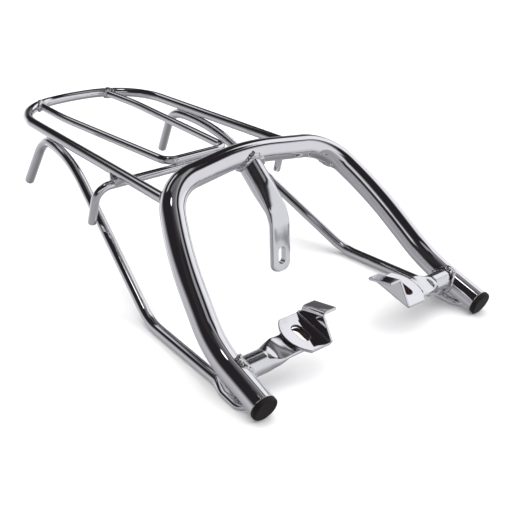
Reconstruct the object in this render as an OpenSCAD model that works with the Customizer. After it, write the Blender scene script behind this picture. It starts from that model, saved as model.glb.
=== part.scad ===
// Chromed luggage rack for a motorcycle. A bent tube grab rail carries a rod
// platform behind it, two rod stays below it, a slotted tab in the middle and
// two folded bracket plates in front. Everything is welded, and the tube ends
// are closed by push-in plugs. X is across the machine, Y runs to the rear and
// Z is up. The origin is the centre of the slot, on the middle tab's front face.

/* [Grab rail] */
// Outer diameter of the grab rail tube
tube_d = 22; // [20:0.5:24]
// Wall thickness of the grab rail tube and of every tube welded to it
tube_wall = 1.8; // [1.2:0.1:2.4]
// Slope of the grab rail's plane, in degrees from level
rail_slope = 39.9; // [36:0.1:43]
// Distance from the slot back to the middle of the crossbar
crossbar_y = 56; // [50:1:62]
// Height of the middle of the crossbar above the slot
crossbar_z = 82.8; // [78:0.2:88]
// Half distance between the upper corners
corner_x = 92.6; // [86:0.2:98]
// Drop of the upper corners from the middle of the crossbar, along the slope
corner_s = 13.5; // [8:0.5:18]
// Half distance between the legs at their upper bends
knee_x = 115.6; // [111:0.2:119]
// Distance of the upper leg bends down the slope
knee_s = 74.8; // [70:0.2:80]
// Half distance between the legs at their lower bends
ankle_x = 128.8; // [125:0.2:132]
// Distance of the lower leg bends down the slope
ankle_s = 157.7; // [150:0.5:165]
// Half distance between the tube ends
foot_x = 130.8; // [127:0.2:134]
// Distance from the slot forward to the tube ends
foot_y = 125.3; // [118:0.5:132]
// Depth of the tube ends below the slot
foot_z = 37; // [34:0.2:40]
// Bend radius in the middle of the crossbar
bow_r = 206; // [150:1:240]
// Bend radius of the upper corners
corner_r = 48; // [40:1:50]
// Bend radius of the upper leg bends
knee_r = 325; // [250:5:335]
// Bend radius of the lower leg bends
ankle_r = 114; // [90:1:120]

/* [Carrier loop] */
// Diameter of the outer loop's rod
loop_d = 10; // [8:0.5:11]
// Height of the outer loop above the slot, at its front
loop_z = 60.9; // [57:0.1:64]
// Slope of the platform down to the rear, in degrees
loop_slope = 0.6; // [0:0.1:2]
// Distance from the slot back to the rear of the loop
loop_rear_y = 366.5; // [350:0.5:380]
// Bow of the loop's rear bar
loop_bow = 9.2; // [5:0.2:12]
// Half width of the loop at its rear corners
loop_rear_x = 77.9; // [72:0.2:84]
// Half width of the loop where it meets the grab rail
loop_front_x = 93.9; // [90:0.2:96]
// Bend radius of the loop's rear corners
loop_r = 65; // [50:1:68]
// Bend radius in the middle of the loop's rear bar
loop_bow_r = 150; // [100:5:200]

/* [Inner loop] */
// Diameter of the inner loop's rod
inner_d = 8; // [6:0.5:9]
// Distance from the slot back to the front bar and to the cross rod below it
front_bar_y = 127; // [118:0.5:136]
// Half width of the inner loop at its front corners
inner_front_x = 35.4; // [31:0.2:40]
// Half width of the inner loop at its widest
inner_wide_x = 45.8; // [42:0.2:49]
// Length over which the loop narrows at the rear, from its widest place
inner_narrow_l = 54.4; // [42:0.2:72]
// Half distance between the inner loop's rear ends
inner_rear_x = 43.4; // [40:0.2:46]
// Bend radius of the front corners
inner_r = 12; // [10:0.5:16]
// Bend radius of the widest place
inner_wide_r = 300; // [200:10:400]

/* [Cross rod] */
// Diameter of the cross rod
cross_d = 8; // [6:0.5:9]
// Half distance between the cross rod's bends
cross_bend_x = 113.3; // [108:0.2:118]
// Half distance between the tips of the hooks
cross_tip_x = 114.6; // [110:0.2:119]
// How far the tips of the hooks lie behind the rod
cross_tip_back = 9.7; // [5:0.1:14]
// How far the tips of the hooks lie below the rod
cross_tip_drop = 36.8; // [30:0.2:42]
// Bend radius of the hooks
cross_r = 14.5; // [12:0.5:18]

/* [Stays] */
// Diameter of the stay rods
stay_d = 10; // [8:0.5:11]
// Half distance between the hook tips
stay_tip_x = 87.4; // [84:0.2:91]
// How far the hook tips lie behind the hook bends
stay_tip_back = 29.8; // [23:0.2:37]
// Depth of the hook tips below the slot
stay_tip_z = 7; // [3:0.5:12]
// Half distance between the stays at the hook bends
stay_hook_x = 81.4; // [79:0.2:84]
// Distance of the hook bends behind the slot
stay_hook_y = 281; // [276:0.5:288]
// Half distance between the stays at their shoulders
stay_shoulder_x = 87.6; // [85:0.2:90]
// Length of the stay's top, from the hook bend to the shoulder
stay_top_l = 62; // [59:0.5:69]
// Half distance between the stays at their lower bends
stay_low_x = 121.1; // [118:0.2:124]
// Distance of the lower bends behind the slot
stay_low_y = 35.8; // [30:0.2:42]
// Half distance between the stays where they are flattened
stay_end_x = 129.7; // [127:0.2:132]
// Distance of the start of the flattened ends in front of the slot
stay_end_y = 76; // [72:0.5:80]
// Depth of the lower stays below the slot
stay_low_z = 43.7; // [42:0.1:45]
// Bend radius of the hooks
stay_hook_r = 31; // [26:0.5:33]
// Bend radius of the shoulders
stay_shoulder_r = 168; // [120:2:175]
// Bend radius of the lower bends
stay_low_r = 60; // [40:1:80]
// Width of the flattened end
paddle_w = 18; // [15:0.5:20]
// Thickness of the flattened end
paddle_t = 4.6; // [4:0.1:5.5]
// Length of the flattened end
paddle_l = 34; // [30:0.5:36]
// Length over which the round rod spreads into the flattened end
paddle_press_l = 5.4; // [4:0.2:8]

/* [Middle tab] */
// Length of the round part of the middle tube, from the crossbar's centre
tab_tube_l = 36; // [30:0.5:42]
// How far the middle tube's axis passes below the crossbar's centre
tab_tube_low = 3; // [0:0.5:5]
// Width of the crushed flat
tab_w = 22.4; // [19:0.2:24]
// Thickness of the crushed flat
tab_t = 6; // [4.4:0.1:7]
// How far the flat leans back from upright, in degrees
tab_lean = 5; // [0:0.5:9]
// Height of the top of the flat above the slot
tab_top_z = 32; // [28:0.5:34]
// How far the flat's lower end lies below the slot
tab_low_z = 15.4; // [14:0.2:18]
// Width of the tube halfway down its crushed part
tab_mid_w = 22.4; // [20:0.2:24]
// Thickness of the tube halfway down its crushed part
tab_mid_t = 10.5; // [8:0.5:13]
// Corner radius of the flat's lower end
tab_corner_r = 8; // [4:0.5:10]
// Width of the slot in the flat
tab_slot_w = 8.5; // [6.5:0.5:10]
// Length of the slot in the flat, from end to end
tab_slot_l = 17; // [13:0.5:20]

/* [Bracket plates] */
// Thickness of the bracket sheet
sheet_t = 2.5; // [2:0.1:3]
// Outer radius of the bracket's folds
fold_r = 4; // [3.5:0.25:5]
// Slope of the bracket's base down to the front, in degrees
base_slope = 13.8; // [10:0.2:17]
// Half distance between the walls of the two brackets
wall_x = 45.5; // [43:0.5:48]
// Distance of the middle of the base in front of the slot
base_y = 91.3; // [88:0.1:94]
// Depth of the underside of the base below the slot, at its middle
base_z = 16.8; // [15:0.2:19]
// Length of the base along the fold
base_l = 42; // [38:0.5:46]
// Radius of the base's round outer end
base_end_r = 27; // [25:0.5:29]
// Distance from the wall to the centre of the round outer end
base_end_x = 5.5; // [4:0.5:7]
// Width of the slot in the base
base_slot_w = 9; // [7:0.5:11]
// Length of the slot in the base, from end to end
base_slot_l = 19; // [15:0.5:22]
// Distance from the wall to the slot
base_slot_x = 16.5; // [15:0.5:18]
// Height of the wall at the rear of the lip
wall_rear_h = 11.3; // [9:0.2:13]
// Height of the wall at the front of the lip
wall_front_h = 22.1; // [19:0.2:25]
// Rear end of the lip, behind the middle of the base
lip_rear = 18.8; // [17:0.2:20]
// Front end of the lip, in front of the middle of the base
lip_front = 5; // [3:0.2:7]
// Width of the lip
lip_w = 15.5; // [12:0.5:18]

/* [Stubs] */
// Outer diameter of the stub tubes
stub_d = 20; // [18:0.5:21]
// Distance of the stub's axis in front of the slot
stub_y = 90.8; // [88:0.1:94]
// Depth of the stub's axis below the slot
stub_z = 26; // [24:0.1:28]
// Where the round part of the stub ends, from the middle plane
stub_round_x = 100; // [98:0.5:104]
// Where the flat part of the stub starts, from the middle plane
stub_flat_x = 86; // [83:0.5:88]
// Where the flat part of the stub ends, from the middle plane
stub_end_x = 74; // [72:0.5:77]
// Width of the stub's flat part
stub_flat_w = 24; // [21:0.5:26]
// Distance of the middle of the stub's flat part in front of the slot
stub_flat_y = 93.5; // [92:0.1:96]
// Thickness of the stub's flat part
stub_flat_t = 4.4; // [4:0.1:5.5]

/* [End plugs] */
// How far the plug's head stands out beyond the tube
plug_lip = 0.4; // [0.2:0.1:2]
// Thickness of the plug's head
plug_head = 4.5; // [4:0.5:8]
// Radius of the plug's rounded rim
plug_round = 2; // [1:0.5:3]
// Length of the plug's spigot
plug_spigot = 14; // [8:1:20]
// Clearance between the spigot and the tube, on the radius
plug_clearance = 0.1; // [0.05:0.05:0.3]

/* [Weld beads] */
// How far a bead stands out beyond the rod or tube that it goes round
bead_out = 2.2; // [1.4:0.1:3]
// How far a bead reaches from the place where two rods touch
bead_reach = 8; // [6:0.5:10]
// Gap that a bead fills between two rods laid side by side
weld_gap = 0.2; // [0.1:0.05:0.4]
// Length of the web under the outer rod where the cross rod passes
cross_web_l = 22; // [16:1:26]
// How far the web runs out along the cross rod, from the outer rod's axis
cross_web_out = 8.7; // [6:0.1:9]
// Distance of the front bar's two beads from the middle plane
front_bead_x = 22; // [14:1:24]
// How far a front bar bead reaches from the place where its bars touch
front_bead_reach = 5.6; // [4:0.2:8]
// Part of the bracket plate's round end that is welded, in degrees
plate_bead_arc = 42; // [30:1:44]
// Length of the bead between the flattened stay and the leg
foot_bead_l = 11; // [8:0.5:13]

/* [Hidden] */
$fn = 64;

chrome = [0.80, 0.81, 0.84];
weld_grey = [0.68, 0.69, 0.72];
black_plastic = [0.07, 0.07, 0.08];
past = 1;               // how far a cutting tool runs past what it cuts
seat = 0.3;             // how much smaller a crushed shape's flat end is than the flat
step_in = 1;            // how much smaller a crushed shape's round end is than the bar
bend_swell = 0.02;      // how much fatter a bar is in its bends, on the radius
bend_lap = 0.4;         // how far a bend laps over the straights beside it
tube_r = tube_d / 2;
plug_d = tube_d + 2 * plug_lip;
bore_d = tube_d - 2 * tube_wall;

// Points of the grab rail, half = 1 on the right and -1 on the left
function on_slope(x, s) =
    [x, crossbar_y - s * cos(rail_slope), crossbar_z - s * sin(rail_slope)];
function rail_half(half) = [
    on_slope(half * corner_x, corner_s),
    on_slope(half * knee_x, knee_s),
    on_slope(half * ankle_x, ankle_s),
    [half * foot_x, -foot_y, -foot_z]];
function reversed(list) = [for (i = [len(list) - 1 : -1 : 0]) list[i]];
rail_points = concat(reversed(rail_half(-1)), [on_slope(0, 0)], rail_half(1));
rail_radii = [ankle_r, knee_r, corner_r, bow_r, corner_r, knee_r, ankle_r];

// Height of the outer loop's rod at a distance behind the slot
function loop_height(y) = loop_z - (y - crossbar_y) * tan(loop_slope);
cope_y = on_slope(0, (crossbar_z - loop_z) / sin(rail_slope)).y;
function loop_half(half) = [
    [half * loop_rear_x, loop_rear_y - loop_bow, loop_height(loop_rear_y - loop_bow)],
    [half * loop_front_x, cope_y, loop_height(cope_y)]];
loop_points = concat(reversed(loop_half(-1)),
    [[0, loop_rear_y, loop_height(loop_rear_y)]], loop_half(1));
loop_radii = [loop_r, loop_bow_r, loop_r];

// The cross rod hangs under the outer loop and carries the inner loop
cross_under = (loop_d + cross_d) / 2 + weld_gap;
inner_under = (loop_d - inner_d) / 2;
inner_rear_under = inner_under / 2;
cross_z = loop_height(front_bar_y) - cross_under;
inner_end_y = loop_rear_y - loop_bow * inner_rear_x / loop_rear_x - loop_d / 2 + past;
inner_wide_y = inner_end_y - inner_narrow_l;
function inner_height(y) = loop_height(y) - inner_under
    + (inner_under - inner_rear_under) * (y - front_bar_y) / (inner_end_y - front_bar_y);
function inner_half(half) = [
    [half * inner_front_x, front_bar_y, inner_height(front_bar_y)],
    [half * inner_wide_x, inner_wide_y, inner_height(inner_wide_y)],
    [half * inner_rear_x, inner_end_y, inner_height(inner_end_y)]];
inner_points = concat(reversed(inner_half(-1)), inner_half(1));
inner_radii = [inner_wide_r, inner_r, inner_r, inner_wide_r];
function cross_half(half) = [
    [half * cross_bend_x, front_bar_y, cross_z],
    [half * cross_tip_x, front_bar_y + cross_tip_back, cross_z - cross_tip_drop]];
cross_points = concat(reversed(cross_half(-1)), cross_half(1));
cross_radii = [cross_r, cross_r];

// The stays pass right under the outer loop
stay_under = (loop_d + stay_d) / 2 + weld_gap;
stay_tip_y = stay_hook_y + stay_tip_back;
stay_shoulder_y = stay_hook_y - stay_top_l;
stay_points = [
    [stay_tip_x, stay_tip_y, -stay_tip_z],
    [stay_hook_x, stay_hook_y, loop_height(stay_hook_y) - stay_under],
    [stay_shoulder_x, stay_shoulder_y, loop_height(stay_shoulder_y) - stay_under],
    [stay_low_x, stay_low_y, -stay_low_z],
    [stay_end_x, -stay_end_y, -stay_low_z]];
stay_radii = [stay_hook_r, stay_shoulder_r, stay_low_r];

// Vector helpers
function unit(v) = v / norm(v);
function turn(a, b) = acos(max(-1, min(1, unit(a) * unit(b))));
// Distance from a corner of a bent bar to where its bend starts
function tangent_length(points, radii, i) =
    radii[i - 1] * tan(turn(points[i] - points[i - 1], points[i + 1] - points[i]) / 2);
function is_corner(points, i) = i > 0 && i < len(points) - 1;
// Where the straight after point i starts, and where the straight before it ends
function straight_start(points, radii, i) = !is_corner(points, i) ? points[i]
    : points[i] + unit(points[i + 1] - points[i]) * tangent_length(points, radii, i);
function straight_end(points, radii, i) = !is_corner(points, i) ? points[i]
    : points[i] - unit(points[i] - points[i - 1]) * tangent_length(points, radii, i);
// The same line of points, with both ends run out by a length
function run_out(points, length) = let (n = len(points)) [for (i = [0 : n - 1])
    i == 0 ? points[0] - unit(points[1] - points[0]) * length
    : i == n - 1 ? points[i] + unit(points[i] - points[i - 1]) * length
    : points[i]];

// Puts what is drawn along +Z at one point, pointing to another
module aim(from, to) {
    z = unit(to - from);
    side = abs(z.z) < 0.9 ? [0, 0, 1] : [0, 1, 0];
    x = unit(cross(side, z));
    y = cross(z, x);
    multmatrix([
        [x.x, y.x, z.x, from.x],
        [x.y, y.y, z.y, from.y],
        [x.z, y.z, z.z, from.z],
        [0, 0, 0, 1]])
        children();
}

module straight(from, to, d) {
    if (norm(to - from) > 0.01) aim(from, to) cylinder(h = norm(to - from), d = d);
}

// A round bend between two straights that meet at a corner
module bend(before, corner, after, radius, d) {
    into = unit(corner - before);
    out_of = unit(after - corner);
    z = unit(cross(into, out_of));
    x = -cross(z, into);
    start = corner - into * radius * tan(turn(into, out_of) / 2);
    centre = start - x * radius;
    lap = bend_lap / radius * 180 / PI;
    multmatrix([
        [x.x, into.x, z.x, centre.x],
        [x.y, into.y, z.y, centre.y],
        [x.z, into.z, z.z, centre.z],
        [0, 0, 0, 1]])
        rotate([0, 0, -lap])
        rotate_extrude(angle = turn(into, out_of) + 2 * lap)
        translate([radius, 0]) circle(d = d + 2 * bend_swell);
}

// A solid round bar that follows a line of points and is bent at each one
module bent_bar(points, radii, d) {
    last = len(points) - 1;
    for (i = [0 : last - 1])
        straight(straight_start(points, radii, i), straight_end(points, radii, i + 1), d);
    for (i = [1 : last - 1])
        bend(points[i - 1], points[i], points[i + 1], radii[i - 1], d);
}

module on_side(half) {
    if (half < 0) mirror([1, 0, 0]) children();
    else children();
}

// Grab rail and its plugs
module rail_solid() {
    bent_bar(rail_points, rail_radii, tube_d);
}

// One leg of the grab rail, below its upper bend
module leg_solid() {
    half_line = concat([on_slope(corner_x, corner_s)], [for (i = [1 : 3]) rail_half(1)[i]]);
    bent_bar(half_line, [knee_r, ankle_r], tube_d);
}

module grab_rail() {
    color(chrome) difference() {
        rail_solid();
        bent_bar(run_out(rail_points, past), rail_radii, bore_d);
    }
}

module end_plug() {
    foot = rail_half(1)[3];
    spigot_d = bore_d - 2 * plug_clearance;
    color(black_plastic) aim(foot, foot + (foot - rail_half(1)[2])) {
        rotate_extrude() union() {
            square([plug_d / 2 - plug_round, plug_head]);
            square([plug_d / 2, plug_head - plug_round]);
            translate([plug_d / 2 - plug_round, plug_head - plug_round]) intersection() {
                circle(plug_round);
                square(plug_round);
            }
            translate([0, -plug_spigot]) square([spigot_d / 2, plug_spigot]);
        }
    }
}

// Rod platform
module loop_solid() {
    bent_bar(loop_points, loop_radii, loop_d);
}

module carrier_loop() {
    color(chrome) difference() {
        loop_solid();
        rail_solid();
    }
}

module inner_loop() {
    color(chrome) difference() {
        bent_bar(inner_points, inner_radii, inner_d);
        loop_solid();
    }
}

module cross_rod() {
    color(chrome) bent_bar(cross_points, cross_radii, cross_d);
}

// Stay, with a flattened end that reaches the underside of the leg
paddle_start = stay_points[4];
paddle_far = [stay_end_x + (stay_end_x - stay_low_x) * paddle_l / (stay_end_y + stay_low_y),
    -stay_end_y - paddle_l, 0];
// Height of the leg's underside above a distance in front of the slot
function leg_under(y) = let (
    a = rail_half(1)[2],
    b = rail_half(1)[3],
    rise = (a.z - b.z) / (a.y - b.y),
    slant = norm([a.y - b.y, a.z - b.z]) / (a.y - b.y))
    b.z + (y - b.y) * rise - tube_r * slant;
paddle_tip = [paddle_far.x, paddle_far.y, leg_under(paddle_far.y) - paddle_t / 2];

module paddle() {
    l = norm(paddle_tip - paddle_start);
    r = paddle_w / 2;
    aim(paddle_start, paddle_tip) {
        translate([-r, -paddle_t / 2, paddle_press_l])
            cube([paddle_w, paddle_t, l - r - paddle_press_l]);
        translate([0, 0, l - r]) rotate([90, 0, 0])
            cylinder(r = r, h = paddle_t, center = true);
        hull() {
            translate([0, 0, -r]) cylinder(d = stay_d - step_in, h = seat, $fn = 32);
            translate([(seat - paddle_w) / 2, (seat - paddle_t) / 2, paddle_press_l + seat])
                cube([paddle_w - seat, paddle_t - seat, seat]);
        }
    }
}

module stay() {
    color(chrome) difference() {
        union() {
            bent_bar(stay_points, stay_radii, stay_d);
            paddle();
        }
        leg_solid();
    }
}

// Middle tab: a tube welded under the crossbar and crushed flat below
tab_axis = [0, -cos(rail_slope), -sin(rail_slope)];
tab_normal = [0, sin(rail_slope), -cos(rail_slope)];
bow_drop = bow_r / cos(atan(corner_s / corner_x)) - bow_r;
tab_head = on_slope(0, bow_drop) + tab_normal * tab_tube_low;
tab_neck = tab_head + tab_axis * tab_tube_l;

// Stations down the crushed part: centre, direction, width and thickness
tab_foot = tab_lean_point([0, tab_t / 2, tab_top_z - step_in]);
tab_mid = tab_neck + tab_axis * (tab_neck.y - tab_foot.y - tab_mid_t / 2) / cos(rail_slope);
tab_half = tab_neck + (tab_mid - tab_neck) / 2;
tab_down = unit(tab_lean_point([0, 0, -1]));
tab_stations = [
    [tab_neck - tab_axis * step_in, tab_axis, tube_d - step_in, tube_d - step_in],
    [tab_half, unit(2 * tab_axis + tab_down), (tube_d + tab_mid_w) / 2 - step_in / 2,
        (tube_d + tab_mid_t) / 2],
    [tab_mid, unit(tab_axis + tab_down), tab_mid_w, tab_mid_t],
    [tab_foot, tab_down, tab_w - step_in, tab_t - step_in]];
function tab_lean_point(p) =
    [p.x, p.y * cos(tab_lean) + p.z * sin(tab_lean), p.z * cos(tab_lean) - p.y * sin(tab_lean)];

// A thin slice of the crushed tube: flat in front and behind, round at the sides
module tab_slice(station) {
    width = station[2];
    thickness = station[3];
    for (side = [-1, 1]) translate([side * (width - thickness) / 2, 0, 0])
        aim(station[0], station[0] + station[1]) cylinder(d = thickness, h = seat, $fn = 32);
}

module middle_tab() {
    color(chrome) difference() {
        union() {
            straight(tab_head, tab_neck, tube_d);
            for (i = [0 : len(tab_stations) - 2]) hull() {
                tab_slice(tab_stations[i]);
                tab_slice(tab_stations[i + 1]);
            }
            in_tab_frame() tab_flat();
        }
        straight(tab_head - tab_axis * past, tab_neck - tab_axis * 2 * step_in, bore_d);
        crossbar_bar(tube_d);
        in_tab_frame() tab_slot();
    }
}

// The tab's own frame: its front face upright through the origin
module in_tab_frame() {
    rotate([-tab_lean, 0, 0]) translate([0, tab_t / 2, 0]) children();
}

module tab_flat() {
    r = tab_corner_r;
    side = (tab_w - tab_t) / 2;
    intersection() {
        rotate([90, 0, 0]) linear_extrude(height = tab_t + 2 * past, center = true) {
            translate([-tab_w / 2, r - tab_low_z]) square([tab_w, tab_top_z + tab_low_z - r]);
            translate([r - tab_w / 2, -tab_low_z]) square([tab_w - 2 * r, r + past]);
            for (half = [-1, 1]) translate([half * (tab_w / 2 - r), r - tab_low_z]) circle(r);
        }
        translate([0, 0, -tab_low_z - past])
            linear_extrude(height = tab_top_z + tab_low_z + 2 * past) {
                square([2 * side, tab_t], center = true);
                for (half = [-1, 1]) translate([half * side, 0]) circle(d = tab_t);
            }
    }
}

module tab_slot() {
    rotate([90, 0, 0]) linear_extrude(height = tab_t + 2 * past, center = true)
        slot_outline(tab_slot_w, tab_slot_l);
}

// A slot with round ends, long side up the page, centred
module slot_outline(width, length) {
    straight_l = length - width;
    square([width, straight_l], center = true);
    for (end = [-1, 1]) translate([0, end * straight_l / 2]) circle(d = width);
}

// Bracket plate: base, wall and lip folded from one sheet. Its own frame has
// the fold along Y, the base outward along X and the wall up along Z.
module in_bracket_frame() {
    translate([wall_x, -base_y, -base_z]) rotate([base_slope, 0, 0]) children();
}

// Two strips joined by a round fold, as seen along the fold
module fold_profile(run, rise) {
    translate([fold_r, 0]) square([run - fold_r, sheet_t]);
    translate([0, fold_r]) square([sheet_t, rise - fold_r]);
    translate([fold_r, fold_r]) intersection() {
        difference() {
            circle(fold_r);
            circle(fold_r - sheet_t);
        }
        translate([-fold_r, -fold_r]) square(fold_r);
    }
}

// Seen from above: a strip with a round outer end
module base_outline() {
    translate([0, -base_l / 2]) square([base_end_x, base_l]);
    intersection() {
        translate([0, -base_l / 2]) square([base_end_x + base_end_r, base_l]);
        translate([base_end_x, 0]) circle(base_end_r);
    }
}

lip_slope = atan((wall_front_h - wall_rear_h) / (lip_rear + lip_front));

// Seen from the side: the wall below the fold that turns into the lip
module wall_outline() {
    back = fold_r * sin(lip_slope);
    down = fold_r * cos(lip_slope);
    polygon([
        [-base_l / 2, -past],
        [base_l / 2, -past],
        [base_l / 2, fold_r],
        [lip_rear - back, wall_rear_h - down],
        [-lip_front - back, wall_front_h - down],
        [-base_l / 2, fold_r]]);
}

module lip() {
    length = (lip_rear + lip_front) / cos(lip_slope);
    translate([0, lip_rear, wall_rear_h]) rotate([-lip_slope, 0, 0]) rotate([90, 0, 0])
        linear_extrude(height = length)
        translate([sheet_t, 0]) mirror([1, 0]) mirror([0, 1])
        fold_profile(lip_w, fold_r + past);
}

module bracket_plate() {
    color(chrome) in_bracket_frame() {
        difference() {
            intersection() {
                rotate([90, 0, 0]) linear_extrude(height = base_l, center = true)
                    fold_profile(base_end_x + base_end_r + past, wall_front_h);
                union() {
                    translate([0, 0, -past]) linear_extrude(height = sheet_t + 2 * past)
                        base_outline();
                    rotate([90, 0, 90]) linear_extrude(height = fold_r) wall_outline();
                }
            }
            translate([base_slot_x, 0, -past]) linear_extrude(height = sheet_t + 2 * past)
                slot_outline(base_slot_w, base_slot_l);
        }
        lip();
    }
}

// Stub: a tube welded to the leg, crushed flat under the bracket's base
module flat_on_base(from_x, to_x, less = 0) {
    width = stub_flat_w - less;
    thickness = stub_flat_t - less;
    in_bracket_frame()
        translate([from_x - wall_x, base_y - stub_flat_y - width / 2, -thickness - less / 2])
        cube([to_x - from_x, width, thickness]);
}

module stub() {
    axis_start = [stub_round_x, -stub_y, -stub_z];
    axis_end = [ankle_x, -stub_y, -stub_z];
    color(chrome) difference() {
        union() {
            straight(axis_start, axis_end, stub_d);
            hull() {
                aim(axis_start + [step_in, 0, 0], axis_end)
                    cylinder(d = stub_d - step_in, h = seat, $fn = 48);
                flat_on_base(stub_flat_x - 2 * seat, stub_flat_x - seat, seat);
            }
            flat_on_base(stub_end_x, stub_flat_x);
        }
        straight(axis_start + [2 * step_in, 0, 0], axis_end + [past, 0, 0],
            stub_d - 2 * tube_wall);
        leg_solid();
    }
}

// Weld beads. Each one fills the corner between two bars: it is what the two
// share when both are made thicker, less the bars themselves.
module bead_ball(at, reach) {
    translate(at) sphere(reach, $fn = 48);
}

// Upper corner of the grab rail on the right, at any thickness
module corner_bar(d) {
    bent_bar([on_slope(0, 0), on_slope(corner_x, corner_s), on_slope(knee_x, knee_s)],
        [corner_r], d);
}

// Middle of the crossbar, at any thickness
module crossbar_bar(d) {
    bent_bar([on_slope(-corner_x, corner_s), on_slope(0, 0), on_slope(corner_x, corner_s)],
        [bow_r], d);
}

// Right side of the outer loop up to the middle of its rear bar
module loop_side_bar(d) {
    bent_bar([loop_points[2], loop_points[3], loop_points[4]], [loop_r], d);
}

// Where the outer loop's right side lies, at a distance behind the slot
function loop_side_x(y) = loop_rear_x + (loop_rear_y - loop_bow - y)
    * (loop_front_x - loop_rear_x) / (loop_rear_y - loop_bow - cope_y);

module loop_weld() {
    color(weld_grey) difference() {
        intersection() {
            corner_bar(tube_d + 2 * bead_out);
            loop_side_bar(loop_d + 2 * bead_out);
        }
        corner_bar(tube_d);
        loop_side_bar(loop_d);
    }
}

module inner_weld() {
    rear_points = [inner_half(1)[1], inner_half(1)[2]];
    color(weld_grey) difference() {
        intersection() {
            loop_side_bar(loop_d + bead_out);
            bent_bar(rear_points, [], inner_d + 2 * bead_out);
        }
        loop_side_bar(loop_d);
        bent_bar(rear_points, [], inner_d);
    }
}

// Centre of the outer loop's right side, at a distance behind the slot
function loop_side(y) = [loop_side_x(y), y, loop_height(y)];

// A web that fills the corner between the outer rod and the cross rod under it
module cross_weld() {
    web_front = loop_side(front_bar_y - cross_web_l / 2);
    web_rear = loop_side(front_bar_y + cross_web_l / 2);
    web_out = [loop_side_x(front_bar_y) + cross_web_out, front_bar_y, cross_z];
    color(weld_grey) difference() {
        hull() {
            straight(web_front, web_rear, loop_d - 2 * step_in, $fn = 32);
            straight(web_out - [cross_web_out, 0, 0], web_out, cross_d - 2 * step_in, $fn = 32);
        }
        loop_side_bar(loop_d);
        straight([0, front_bar_y, cross_z], cross_half(1)[0], cross_d);
    }
}

module front_bar_welds() {
    bar_start = inner_half(-1)[0];
    bar_end = inner_half(1)[0];
    rod_start = [bar_start.x, front_bar_y, cross_z];
    rod_end = [bar_end.x, front_bar_y, cross_z];
    color(weld_grey) for (side = [-1, 1]) difference() {
        intersection() {
            straight(bar_start, bar_end, inner_d + bead_out);
            straight(rod_start, rod_end, cross_d + bead_out);
            bead_ball([side * front_bead_x, front_bar_y, cross_z + cross_d / 2], front_bead_reach);
        }
        straight(bar_start, bar_end, inner_d);
        straight(rod_start, rod_end, cross_d);
    }
}

// Where the top of the stay runs level right under the outer loop
stay_weld_y = stay_hook_y
    - tangent_length(stay_points, stay_radii, 1) * (stay_hook_y - stay_shoulder_y)
    / norm(stay_points[2] - stay_points[1]);

module hook_weld() {
    color(weld_grey) difference() {
        intersection() {
            loop_side_bar(loop_d + bead_out);
            bent_bar(stay_points, stay_radii, stay_d + bead_out);
            bead_ball([loop_side_x(stay_weld_y), stay_weld_y,
                loop_height(stay_weld_y) - loop_d / 2], bead_reach);
        }
        loop_side_bar(loop_d);
        bent_bar(stay_points, stay_radii, stay_d);
    }
}

module paddle_weld() {
    color(weld_grey) difference() {
        translate([paddle_tip.x, paddle_tip.y + paddle_w / 2, paddle_tip.z + paddle_t / 2])
            rotate([0, 90, 0]) cylinder(d = paddle_t, h = foot_bead_l, center = true);
        leg_solid();
        paddle();
    }
}

module stub_weld() {
    axis_start = [stub_round_x, -stub_y, -stub_z];
    axis_end = [ankle_x, -stub_y, -stub_z];
    color(weld_grey) difference() {
        intersection() {
            straight(axis_start, axis_end, stub_d + 2 * bead_out);
            bent_bar([on_slope(knee_x, knee_s), rail_half(1)[2], rail_half(1)[3]],
                [ankle_r], tube_d + 2 * bead_out);
        }
        leg_solid();
        straight(axis_start, axis_end, stub_d);
    }
}

module plate_weld() {
    middle = asin((base_y - stub_flat_y) / base_end_r);
    color(weld_grey) in_bracket_frame() translate([base_end_x, 0, 0])
        rotate([0, 0, middle - plate_bead_arc / 2])
        rotate_extrude(angle = plate_bead_arc)
        polygon([[base_end_r, 0], [base_end_r + bead_out, 0], [base_end_r, sheet_t]]);
}

module tab_weld() {
    color(weld_grey) difference() {
        intersection() {
            crossbar_bar(tube_d + 2 * bead_out);
            straight(tab_head, tab_neck, tube_d + 2 * bead_out);
        }
        crossbar_bar(tube_d);
        straight(tab_head, tab_neck, tube_d);
    }
}

grab_rail();
carrier_loop();
inner_loop();
cross_rod();
on_side(-1) stay();  // left_stay
on_side(1) stay();  // right_stay
middle_tab();
on_side(-1) stub();  // left_stub
on_side(1) stub();  // right_stub
on_side(-1) bracket_plate();  // left_bracket_plate
on_side(1) bracket_plate();  // right_bracket_plate
on_side(-1) end_plug();  // left_end_plug
on_side(1) end_plug();  // right_end_plug
on_side(-1) loop_weld();  // left_loop_weld
on_side(1) loop_weld();  // right_loop_weld
on_side(-1) inner_weld();  // left_inner_weld
on_side(1) inner_weld();  // right_inner_weld
on_side(-1) cross_weld();  // left_cross_weld
on_side(1) cross_weld();  // right_cross_weld
front_bar_welds();
on_side(-1) hook_weld($fn = 160);  // left_hook_weld
on_side(1) hook_weld($fn = 160);  // right_hook_weld
on_side(-1) paddle_weld();  // left_paddle_weld
on_side(1) paddle_weld();  // right_paddle_weld
on_side(-1) stub_weld();  // left_stub_weld
on_side(1) stub_weld();  // right_stub_weld
on_side(-1) plate_weld();  // left_plate_weld
on_side(1) plate_weld();  // right_plate_weld
tab_weld();
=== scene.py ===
# %% [markdown]
# # A chromed luggage rack, dressed for its photograph
# The rack is one welded frame of bent tube and rod with a mirror finish. The
# solids fix every size and place. This script gives them smooth skins that a
# mirror finish can stand, weld beads with ripples, and a small studio whose
# light and dark surroundings are what makes chrome look like chrome.

# %% Load the fixed frame
import math

import bmesh
import bpy
import numpy as np
from mathutils import Matrix


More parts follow.
